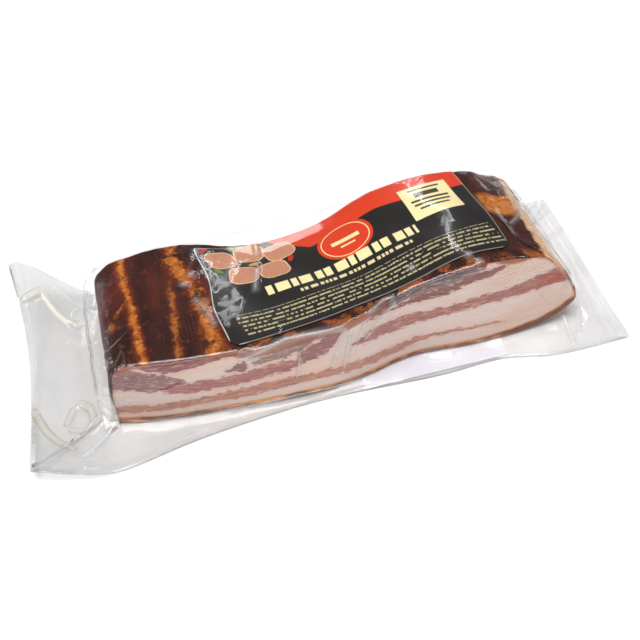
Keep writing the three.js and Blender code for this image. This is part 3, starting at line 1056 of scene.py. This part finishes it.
# %% Fat, with silk and sinew
def fat_ground(paint, height, sideways, ragged):
    """Cool and warm fat, silky in places, and lined with sinew in the thick wedge at the right."""
    x, z = paint.x, paint.z
    colour = paint.blend(paint.noise(20, 3, (3, 1, 0.6), 11.0).rise(0.35, 0.68), FAT, FAT_WARM)
    silk = paint.noise(2.2, 2, (9, 1, 0.7), 61.0).rise(0.5, 0.75)
    colour = paint.blend(silk * 0.35, colour, SILK)
    hair = paint.noise(1.1, 2, (1, 1, 9), 5.0)
    slanting = (sideways * 0.8 - z) * 0.9 + hair * 5 + ragged
    lines = slanting.wrap(2.6).rise(0.9, 0.2)
    wedge = (x.rise(76, 96) * (height - 37).rise(0, 3)).least(1.0)
    return paint.blend(lines * wedge * 0.55, colour, SINEW)


# %% Lean
def lean_bands(paint, colour, height, sideways):
    """The bands laid over the fat, and how lean each place is."""
    swell = (paint.noise(3.6, 3, (1.2, 1, 0.4), 57.0, 0.6) - 0.5) * 6.5
    lean_share = None
    for number, (name, stations) in enumerate(BANDS.items()):
        low = paint.curve(sideways, [(a, b) for a, b, _ in stations])
        high = paint.curve(sideways, [(a, c) for a, _, c in stations])
        above, below = height - low + swell, high - height + swell
        reach = paint.x.within(stations[0][0] + 1.5, stations[-1][0] - 1.5, 1.5)
        band = above.rise(-0.4, 0.4) * below.rise(-0.4, 0.4) * reach
        halo = above.rise(-3.5, 0.5) * below.rise(-3.5, 0.5) * reach
        lean_share = band if lean_share is None else lean_share.most(band)
        grain = paint.noise(3.4, 4, (4, 1, 0.45), number * 3.1, 0.65).rise(0.32, 0.72)
        tone = paint.blend(grain, LEAN_TONES[name], tuple(c * 0.6 for c in LEAN_TONES[name]))
        colour = paint.blend(halo * 0.3, colour, FAT_PINK)
        colour = paint.blend(band, colour, tone)
    return colour, lean_share


# %% The whole cut face
def cut_face(paint, from_end):
    """Colour of the cut face, how lean and how ragged each place is, and the rind's colour."""
    x, z = paint.x, paint.z
    ragged = (paint.noise(2.4, 3, (1.8, 1, 1), 7.0, 0.6) - 0.5) * 3.4
    height = z + (paint.noise(14, 2, (1.8, 1, 1)) - 0.5) * 2.6 + ragged * 1.1
    sideways = x + (paint.noise(9, 2, (1, 1, 1), 3.0) - 0.5) * 5
    colour = fat_ground(paint, height, sideways, ragged)
    colour, lean_share = lean_bands(paint, colour, height, sideways)
    marble = paint.noise(1.7, 3, (3.4, 1, 0.6), 23.0, 0.6).rise(0.56, 0.64) * lean_share
    cleft = abs(height - 23.6 - (x + 96) * 0.33).rise(1.1, 0.4) * x.within(-96, -84, 1.5)
    rim = (from_end + ragged * 0.5).rise(3.2, 1.2)
    red_end = x.rise(112, 134) * (height - 30).within(0, 8.5, 1.0)
    left_rim = x.rise(-119, -125) * 0.6
    over_foot = z - paint.curve(x, FOOT)
    rind = (over_foot + ragged * 0.4).rise(4.6, 3.2)
    bark = paint.noise(6, 3, (3, 1, 1), 31.0) + over_foot.rise(3.4, 2.2) * 0.18
    rind_tone = paint.blend(bark.rise(0.52, 0.68), RIND, RIND_DARK)
    skin = (z - paint.curve(x, SKIN_EDGE) + ragged * 0.9).rise(-2.6, -0.6)
    colour = paint.layer(
        colour,
        (marble * 0.45, FAT_WARM),
        (cleft * 0.8, CLEFT),
        (red_end * 0.75, RED_LEAN),
        (rim * 0.9, BROWNED),
        (left_rim, LEFT_RIM),
        (rind, rind_tone),
        (skin * 0.85, SKIN),
    )
    return colour, lean_share, ragged, rind_tone


# %% [markdown]
# Smoke
#
# Where the slab wasn't cut it is smoked: dark mahogany lean, and amber fat that shows through in streaks
# across the slab. The streaks are curves too, this time of x against y. Real smoke never gives a clean
# line, so their middles sway, their width swells and the blotches break them. The amber is kept
# brownish, because smoked meat soon looks too orange in a render.

# %% Colours and streaks of the smoked side
# (y, x) points, half the width, from which y to which, and strength.
STREAKS = [
    ([(-60, -100), (-30, -101), (0, -101.5), (30, -103), (50, -101)], 2.7, -70, 60, 1.0),
    ([(-60, -61), (-34, -62), (-5, -64), (10, -68), (30, -71), (50, -72)], 5.5, -70, 60, 1.0),
    ([(-60, -83), (-20, -79), (0, -78), (50, -76)], 2.2, -58, 10, 0.6),
    ([(-60, -113), (-12, -113), (-6, -109), (2, -103), (50, -100)], 1.8, -18, 1, 0.7),
]
AMBER, AMBER_DARK, AMBER_BRIGHT = srgb(196, 116, 48), srgb(116, 46, 22), srgb(226, 160, 84)
MAHOGANY, MAHOGANY_DARK, MAHOGANY_RED = srgb(68, 34, 29), srgb(46, 25, 22), srgb(112, 42, 32)
RUSTY, TANNED, NET_MARK, SOOT = srgb(122, 62, 42), srgb(138, 74, 42), srgb(136, 88, 62), srgb(44, 25, 24)
PATCH, PATCH_DARK = srgb(208, 128, 48), srgb(160, 80, 34)
BROW, BROW_DARK = srgb(186, 104, 42), srgb(120, 60, 32)
BARK, BARK_DARK, PEACH = srgb(186, 112, 60), srgb(112, 52, 32), srgb(232, 180, 134)
# Pale tones painted at the foot of the left end, standing in for the film's glare there.
FOOT_GLARE, FOOT_GLARE_DARK = srgb(200, 158, 138), srgb(132, 82, 62)


# %% Mahogany
def mahogany(paint, blotch):
    """Dark smoked lean, with rust in its grain and the marks of the net that it hung in."""
    x, y = paint.x, paint.y
    broad = paint.noise(30, 4, (0.7, 1.6, 1), 41.0, 0.6)
    grain = paint.noise(4, 4, (0.5, 3, 1), 45.0, 0.6)
    net = x.wrap(2.2).rise(0.9, 0.3) * y.wrap(3.6).rise(1.0, 2.0)
    net = net * x.within(-84, -66, 3) * y.within(-42, -8, 5)
    return paint.layer(
        paint.blend((broad * 0.75 + grain * 0.25).rise(0.42, 0.6), MAHOGANY, MAHOGANY_DARK),
        (broad.rise(0.46, 0.32) * 0.35, MAHOGANY_RED),
        (grain.rise(0.56, 0.72) * 0.5, RUSTY),
        (blotch.rise(0.6, 0.72) * 0.45, TANNED),
        (net * 0.2, NET_MARK),
    )


# %% Amber streaks
def amber_streaks(paint, colour, fine, blotch, sway):
    """Streaks of fat through the smoke; the first one is the straightest."""
    x, y = paint.x, paint.y
    swell = paint.noise(12, 2, (1, 1, 1), 49.0)
    for number, (points, half, low, high, strength) in enumerate(STREAKS):
        stations = [(a, b / 2 + 60) for a, b in points]
        middle = paint.curve(y, stations, (-70.0, 60.0)) * 2.0 - 120.0
        off = abs(x - middle + sway * (0.3 if number == 0 else 0.7))
        core = (swell * 2.4 * half - off) / half + (fine - 0.5) * 2.4
        mask = core.rise(-0.7, 0.7) * y.within(low, high, 4)
        breaks = blotch.rise(0.3, 0.42) if number == 0 else blotch.rise(0.36, 0.54)
        bright = paint.blend(fine.rise(0.55, 0.72), AMBER, AMBER_BRIGHT)
        tone = paint.blend(core.rise(0.1, 1.5), AMBER_DARK, bright)
        colour = paint.blend(mask * breaks * strength, colour, tone)
    return colour


# %% The whole smoked side
def smoked_side(paint, from_end, fine):
    """Mahogany and amber, the mottled brow over the cut face, the two ends, and painted film glare at the
    left foot.
    """
    x, y, z = paint.x, paint.y, paint.z
    blotch = paint.noise(7, 4, (1, 1, 1), 53.0, 0.6)
    sway = (paint.noise(16, 3, (1, 1, 1), 47.0) - 0.5) * 9 + (blotch - 0.5) * 6
    colour = amber_streaks(paint, mahogany(paint, blotch), fine, blotch, sway)
    patch = (x + sway * 0.5).within(107, 126, 3) * (y + sway * 0.6).within(-6, 14, 3)
    fronts = [(a + PLACE[0], -b / 2) for a, b in SLAB_SECTIONS[:, :2]]
    from_front = y + paint.curve(x, fronts) * 2.0
    brow = (from_front + sway * 0.8).rise(15, 7) * x.rise(-60, -44)
    mottle = paint.noise(11, 4, (1.3, 1, 1), 81.0, 0.6) * 0.75 + fine * 0.25
    # Paler foot of the left end: painted glare of the film over it.
    left_foot_glare = (z + sway * 0.6).rise(26, 10) * x.rise(-118, -121)
    rim = (from_end + (blotch - 0.5) * 4 + (fine - 0.5) * 2).rise(2.8, 1.2)
    bark = paint.blend(mottle.rise(0.42, 0.56), BARK_DARK, BARK)
    return paint.layer(
        colour,
        (patch * 0.92, paint.blend(fine.rise(0.4, 0.7), PATCH, PATCH_DARK)),
        (brow * mottle.rise(0.49, 0.55) * 0.85, paint.blend(fine, BROW, BROW_DARK)),
        (brow * mottle.rise(0.49, 0.42) * 0.8, SOOT),
        (left_foot_glare * 0.85, paint.blend(mottle.rise(0.44, 0.56), FOOT_GLARE_DARK, FOOT_GLARE)),
        (rim * 0.9, paint.blend(z.rise(28, 42), bark, PEACH)),
    )


# %% The slab's material
def bacon():
    """Cut face, smoked side and rind on one slab, kept apart by the values stored on its rings."""
    paint = Paint("smoked_bacon")
    end = SLAB_RIGHT + PLACE[0] - END_INSET
    from_end = end - paint.x - paint.z * paint.z * (RIGHT_LEAN / LEAN_HEIGHT**2)
    fine = paint.noise(2.6, 4, (1, 1, 1), 43.0, 0.65)
    face, lean_share, ragged, rind_tone = cut_face(paint, from_end)
    smoked = smoked_side(paint, from_end, fine)
    cut = (paint.attribute("cut") + (fine - 0.5) * 0.4).rise(0.3, 0.55)
    rind = paint.attribute("rind").rise(0.35, 0.7)
    wrinkle = paint.noise(5, 4, (0.6, 2.2, 1), 71.0, 0.6)
    sliced = cut * (lean_share * -0.3 + ragged * 0.08)
    dried = (1 - cut) * (fine * 0.4 + wrinkle * 1.2)
    paint.bump(sliced + dried, 0.8, 0.7)
    return paint.finish(
        paint.layer(smoked, (cut, face), (rind, rind_tone)),
        0.4 + fine * 0.14 - cut * 0.04,
        Coat_Weight=0.15,
        Coat_Roughness=0.1,
        Specular_IOR_Level=0.06,
        Subsurface_Weight=0.12,
        Subsurface_Scale=0.003,
        Subsurface_Radius=(1.0, 0.45, 0.3),
    )


slab.data.materials.append(bacon())
print("slab layers:", len(BANDS), "bands of lean,", len(STREAKS), "streaks of fat")

# %% [markdown]
# Clear film
#
# Glass would bend the light and cost much time, and film this thin bends none. So the material is a mix:
# mostly Transparent, with a share of a mirror that grows at a grazing angle and a share of grey haze.
# The haze is thicker where film lies on film: in the flange, at the welds, in the creases, and where the
# spare film is gathered at the slab's front left corner. Towards the flange's left the extra grey is painted
# shade of the slab. The white haze along creases, thin wisps and the gathered corner is partly milky film
# and partly painted glints. Pale juice stands in the channels.

# %% How much of the film can be seen
def film_marks(paint):
    """The masks that the film's haze and colour are made from, with painted glints among them."""
    flange, juice, loose = (paint.attribute(key) for key in ("flange", "juice", "loose"))
    # Thin white wisps of haze are painted glints along fine creases of the film.
    glint_wisp_a = abs(paint.noise(14, 1, (1, 4, 2), 21.0) - 0.5).rise(0.012, 0.0)
    glint_wisp_b = abs(paint.noise(17, 1, (4, 1, 1), 33.0) - 0.5).rise(0.010, 0.0)
    where = loose.rise(0.4, 0.9) * (1.0 - flange) * 0.5 + flange * 0.12
    corner = paint.x.within(-129.5, -121.5, 1.0) * paint.y.within(-51, -40, 2)
    # Painted sparkle: glints painted into the gathered film at the front left corner.
    painted_sparkle = paint.noise(3, 2, (1, 1, 2.5), 91.0).rise(0.42, 0.58) * 0.7 + 0.3
    return {
        "flange": flange,
        "juice": juice,
        "loose": loose,
        "weld": paint.attribute("weld"),
        "fold": paint.attribute("fold"),
        "cloud": paint.noise(40, 2, (1, 1, 1), 5.0),
        "wisp_glints": glint_wisp_a.most(glint_wisp_b) * where.least(1.0),
        "ticks": paint.y.wrap(1.7).rise(0.9, 0.5) * paint.x.rise(-165, -168) * paint.y.rise(-14, -20),
        "tube_rim": juice.rise(0.12, 0.35) * juice.rise(0.8, 0.5),
        "gather_and_glints": corner * (paint.z.rise(36, 28) * 0.3 + paint.z.rise(20, 12) * painted_sparkle * 0.5),
    }


def film_haze(paint, marks):
    """The share of grey: a little all over the flange, more on its left as painted shade, more on welds,
    juice and creases.
    """
    flange = marks["flange"]
    # More grey towards the left of the flange is painted shade: the slab's shadow on the flange.
    haze = flange * (0.07 + marks["cloud"].rise(0.3, 0.75) * 0.07 + paint.x.rise(80, -100) * 0.09)
    # The white haze on folds and creases is partly milky film and partly painted glints.
    haze = haze + marks["weld"] * 0.08 + marks["fold"] * (0.38 - flange * 0.2)
    haze = haze + marks["juice"] * 0.05 + marks["tube_rim"] * 0.2
    # The wisps and the gathered corner add painted glints.
    return haze + marks["wisp_glints"] * 0.16 + marks["ticks"] * 0.2 + marks["gather_and_glints"]


def film_tone(paint, marks):
    """The colour of the haze, near white where it carries painted glints."""
    tone = paint.blend(marks["cloud"].rise(0.3, 0.7), srgb(150, 147, 145), srgb(166, 164, 163))
    return paint.layer(
        tone,
        (marks["juice"].rise(0.3, 0.8) * 0.8, srgb(206, 196, 160)),
        (marks["tube_rim"] * 0.9, srgb(150, 138, 100)),
        (marks["weld"] * 0.6, srgb(190, 190, 190)),
        # Near-white tones for folds, wisps and the gathered corner: partly painted glints.
        (marks["fold"].rise(0.5, 1.0) * 0.8, srgb(238, 238, 240)),
        (marks["wisp_glints"], srgb(236, 236, 238)),
        (marks["gather_and_glints"].rise(0.05, 0.3), srgb(238, 236, 234)),
    )


def film_relief(paint, marks):
    """Long waves all over, and sharp crinkles and crumples where the film is loose."""
    flange, loose = marks["flange"], marks["loose"]
    wave = paint.noise(24, 0, (1, 1, 1), 13.0) * 1.6 + paint.noise(8, 0, (1, 1, 1), 9.0) * 0.5
    crinkle_a = abs(paint.noise(11, 2, (1, 2.2, 1), 63.0) - 0.5)
    crinkle_b = abs(paint.noise(6, 2, (1.8, 1, 1), 67.0) - 0.5)
    crinkle = (crinkle_a * 5.0 + crinkle_b * 3.0) * (loose**3.0 * 0.9)
    patchy = paint.noise(20, 2, (1, 1, 1), 73.0).rise(0.5, 0.6)
    crumple = paint.noise(5, 1, (1, 1.6, 1), 77.0) * patchy * (1.0 - flange) * loose * loose
    return wave + crinkle + crumple * 0.6


# %% The film's material
FACE_ON_GLOSS, GRAZING_GLOSS, GRAZING_POWER = 0.045, 0.9, 5.0


def clear_film():
    """Transparent, mixed with one shader that is a white mirror for the gloss and grey for the haze."""
    paint = Paint("clear_film")
    marks = film_marks(paint)
    grazing = paint.value("LayerWeight", {}, {"Blend": 0.5}, "Facing")
    gloss = FACE_ON_GLOSS + grazing**GRAZING_POWER * GRAZING_GLOSS
    share = 1.0 - (1.0 - gloss) * (1.0 - film_haze(paint, marks))
    metal = gloss / share
    tone = paint.blend(metal, film_tone(paint, marks), (1.0, 1.0, 1.0))
    paint.bump(film_relief(paint, marks), 1.0, 0.8)
    paint.tree.links.new(metal.socket, paint.surface.inputs["Metallic"])
    paint.finish(tone, 0.12 - marks["flange"] * 0.07)
    clear = paint.node("BsdfTransparent").outputs[0]
    mixed = paint.node("MixShader", {}, {0: share, 1: clear, 2: paint.surface.outputs[0]}).outputs[0]
    output = next(n for n in paint.tree.nodes if n.type == "OUTPUT_MATERIAL")
    paint.tree.links.new(mixed, output.inputs["Surface"])
    return paint.material


film.data.materials.append(clear_film())
print("film material:", len(film.data.materials[0].node_tree.nodes), "nodes")

# %% [markdown]
# Print
#
# A label is ink on paper, so its pattern belongs to the paper: it reads the UV map that was laid out
# while the sheet was flat, and bends with it. The design is a generic one: a dark ground, a red field
# along the back, a red disc, a cream panel with bars, peach tiles with leaves, and rows of blocks and
# dashes. An image would be simpler to make, but shapes from formulas stay sharp at any distance.

# %% What is printed where, in millimetres from the middle of the label
INK, RED, CREAM, DULL_CREAM = srgb(36, 34, 33), srgb(218, 64, 32), srgb(244, 229, 174), srgb(226, 212, 160)
DASH, PANEL_INK, CUT_EDGE = srgb(222, 210, 160), srgb(60, 50, 36), srgb(214, 210, 204)
TILE_RIM, TILE, TILE_SPECK = srgb(230, 190, 150), srgb(206, 148, 116), srgb(158, 92, 72)
LEAF_TONES = [srgb(190, 44, 24), srgb(104, 128, 36), srgb(220, 150, 44)]
# u, v, turn
TILES = [(-68, 31, 8), (-50, 35, -8), (-33, 29, 12), (-59, 13, -10), (-41, 12, 6)]
LEAVES = [
    (-76, 42, 30), (-59, 43, -20), (-42, 44, 15), (-25, 40, 60), (-73, 20, -40), (-50, 23, 10), (-29, 18, 70),
]
DISC, DISC_SIZES = (3, 12), (33, 29, 27.8)
PANEL, PANEL_SIZE = (57, 13.5), (30, 31)
# v, width, height
PANEL_BARS = [(25.5, 20, 1.6), (20, 15, 4.4), (14, 23, 2.0), (10, 22, 1.8), (6, 18, 1.6)]
BIG_BLOCKS = {"low": -11.5, "height": 8.0, "first": -52, "last": 40, "cell": 7.0, "gap": 1.8}
SMALL_BLOCKS = {"low": -17.5, "height": 2.6, "first": -34, "last": 34, "cell": 3.4, "gap": 1.2}
SOFT_EDGE = 0.18


# %% Shapes of ink
class Ink(Paint):
    """A material that is laid out in millimetres on the flat sheet."""

    def __init__(self, name):
        super().__init__(name)
        uv = self.node("UVMap", {"uv_map": "print"}).outputs[0]
        split = self.node("SeparateXYZ", {}, {0: uv})
        self.u = (Field(self, split.outputs[0]) - 0.5) * UV_SPAN
        self.v = (Field(self, split.outputs[1]) - 0.5) * UV_SPAN
        scaled = {0: uv, "Scale": float(UV_SPAN)}
        self.place = self.node("VectorMath", {"operation": "SCALE"}, scaled).outputs[0]

    def turned(self, u, v, turn):
        """Distances from a centre along two turned axes."""
        c, s = math.cos(math.radians(turn)), math.sin(math.radians(turn))
        return (self.u - u) * c + (self.v - v) * s, (self.v - v) * c - (self.u - u) * s

    def box(self, u, v, width, height, turn=0.0, corner=0.4):
        """A turned rectangle of ink with round corners."""
        a, b = self.turned(u, v, turn)
        over_a = (abs(a) - (width / 2 - corner)).most(0.0)
        over_b = (abs(b) - (height / 2 - corner)).most(0.0)
        reach = (over_a * over_a + over_b * over_b) ** 0.5
        return reach.rise(corner + SOFT_EDGE, corner - SOFT_EDGE)

    def oval(self, u, v, width, height, turn=0.0):
        a, b = self.turned(u, v, turn)
        a, b = a / width, b / height
        return ((a * a + b * b) ** 0.5).rise(0.5 + SOFT_EDGE / height, 0.5 - SOFT_EDGE / height)

    def blocks(self, low, height, first, last, cell, gap):
        """A row of upright bars whose widths swell and shrink."""
        step = (self.u - first + (self.u * 0.37).sine() * 1.4).wrap(cell)
        bars = step.within(gap / 2, cell - gap / 2, SOFT_EDGE)
        return bars * self.v.within(low, low + height, SOFT_EDGE) * self.u.within(first, last, SOFT_EDGE)


# %% The parts of the design
def red_field(ink):
    edge = 22.0 + (ink.u * 0.09).sine() * 1.6 - ink.u.rise(20, 80) * 3
    slanted_end = (ink.u + ink.v * 0.9).rise(2, 2.5)
    return [((ink.v - edge).rise(-SOFT_EDGE, SOFT_EDGE) * slanted_end, RED)]


def tiles_and_leaves(ink):
    speckle = ink.noise(1.1, 3, (1, 1, 1), 3.0, 0.7).rise(0.42, 0.62)
    layers = []
    for u, v, turn in TILES:
        inside = ink.box(u, v, 16.6, 16.1, turn, 5.4)
        layers.append((ink.box(u, v, 18, 17.5, turn, 6), TILE_RIM))
        layers.append((inside, TILE))
        layers.append((inside * speckle * 0.6, TILE_SPECK))
    for number, (u, v, turn) in enumerate(LEAVES):
        layers.append((ink.oval(u, v, 6.5, 3.2, turn), LEAF_TONES[number % len(LEAF_TONES)]))
    return layers


def disc_and_panel(ink):
    layers = [(ink.oval(*DISC, size, size), tone) for size, tone in zip(DISC_SIZES, (RED, CREAM, RED))]
    layers.append((ink.box(*DISC, 17, 3.6), CREAM))
    layers.append((ink.box(DISC[0], 6.6, 9, 1.4), CREAM))
    layers.append((ink.box(*PANEL, *PANEL_SIZE), CREAM))
    for v, width, height in PANEL_BARS:
        layers.append((ink.box(PANEL[0], v, width, height, 0, 0.3), PANEL_INK))
    return layers


def rows_of_dashes(ink):
    gaps = ink.noise(1.15, 0, (1.3, 3.4, 1), 17.0).rise(0.40, 0.46)
    rows = (ink.v + 60).wrap(3.3).within(0.9, 2.1, 0.15)
    region = ink.v.within(-40.5, -22.5, 0.1) * (ink.u + ink.v * 0.2).within(-78, 72, 0.1)
    bold = 0.7 + ink.v.rise(-25.5, -24.5) * 0.3
    return [(rows * region * gaps * bold, DASH)]


def pale_edge(ink):
    """The bare paper at the sheet's cut edge, widest at the left."""
    from_edge = (LABEL_WIDTH / 2 - abs(ink.v)).least(LABEL_LENGTH / 2 - abs(ink.u))
    return [(from_edge.rise(0.75, 0.45) * (0.35 + ink.u.rise(-70, -76) * 0.5), CUT_EDGE)]


# %% The label's material
def printed():
    ink = Ink("label_print")
    layers = red_field(ink) + tiles_and_leaves(ink) + disc_and_panel(ink)
    layers += [(ink.blocks(**BIG_BLOCKS), CREAM), (ink.blocks(**SMALL_BLOCKS), DULL_CREAM)]
    layers += rows_of_dashes(ink) + pale_edge(ink)
    ink.bump(ink.noise(14, 2, (1, 1, 1), 21.0), 0.5, 0.4)
    return ink.finish(
        ink.layer(INK, *layers),
        0.34,
        Coat_Weight=0.3,
        Coat_Roughness=0.1,
        Specular_IOR_Level=0.2,
    )


label.data.materials.append(printed())
print("label material:", len(label.data.materials[0].node_tree.nodes), "nodes")

# %% [markdown]
# Plain paper and the floor
#
# The plain label under the bag keeps the CAD's own mesh, because its shape is right, and only gets the
# look of white paper: a cool tint that drifts a little, and fibres that are felt more than seen. The
# floor is nearly white, so that it doesn't colour the clear film from below.

# %% The plain label's material and the floor's
def plain_paper():
    paint = Paint("plain_paper")
    fibre = paint.noise(1.2, 3)
    wash = paint.noise(30, 2, (1, 1, 1), 4.0)
    colour = paint.blend(wash.rise(0.3, 0.7), srgb(240, 240, 248), srgb(232, 231, 242))
    colour = paint.blend(fibre.rise(0.5, 0.8) * 0.25, colour, srgb(220, 219, 230))
    paint.bump(fibre, 0.06, 0.5)
    return paint.finish(colour, 0.55 + fibre * 0.1)


def pale_floor():
    paint = Paint("pale_floor")
    wash = paint.noise(400, 2)
    colour = paint.blend(wash, srgb(248, 248, 248), srgb(250, 250, 250))
    return paint.finish(colour, 0.7, Specular_IOR_Level=0.2)


back_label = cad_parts["back_label"]
back_label.data.materials.clear()
back_label.data.materials.append(plain_paper())
floor.data.materials.append(pale_floor())

# %% [markdown]
# Hand the pieces to the frame
#
# The slab and the film together stand for the CAD's sealed bag, and the draped label for its flat one.
# They all ride on the one body.

# %% Ride and replace
for piece, node, slot in (
    (slab, "sealed_bag", "bacon"),
    (film, "sealed_bag", "bag_film"),
    (label, "front_label", "label_print"),
):
    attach(piece, "root")
    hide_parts(node)
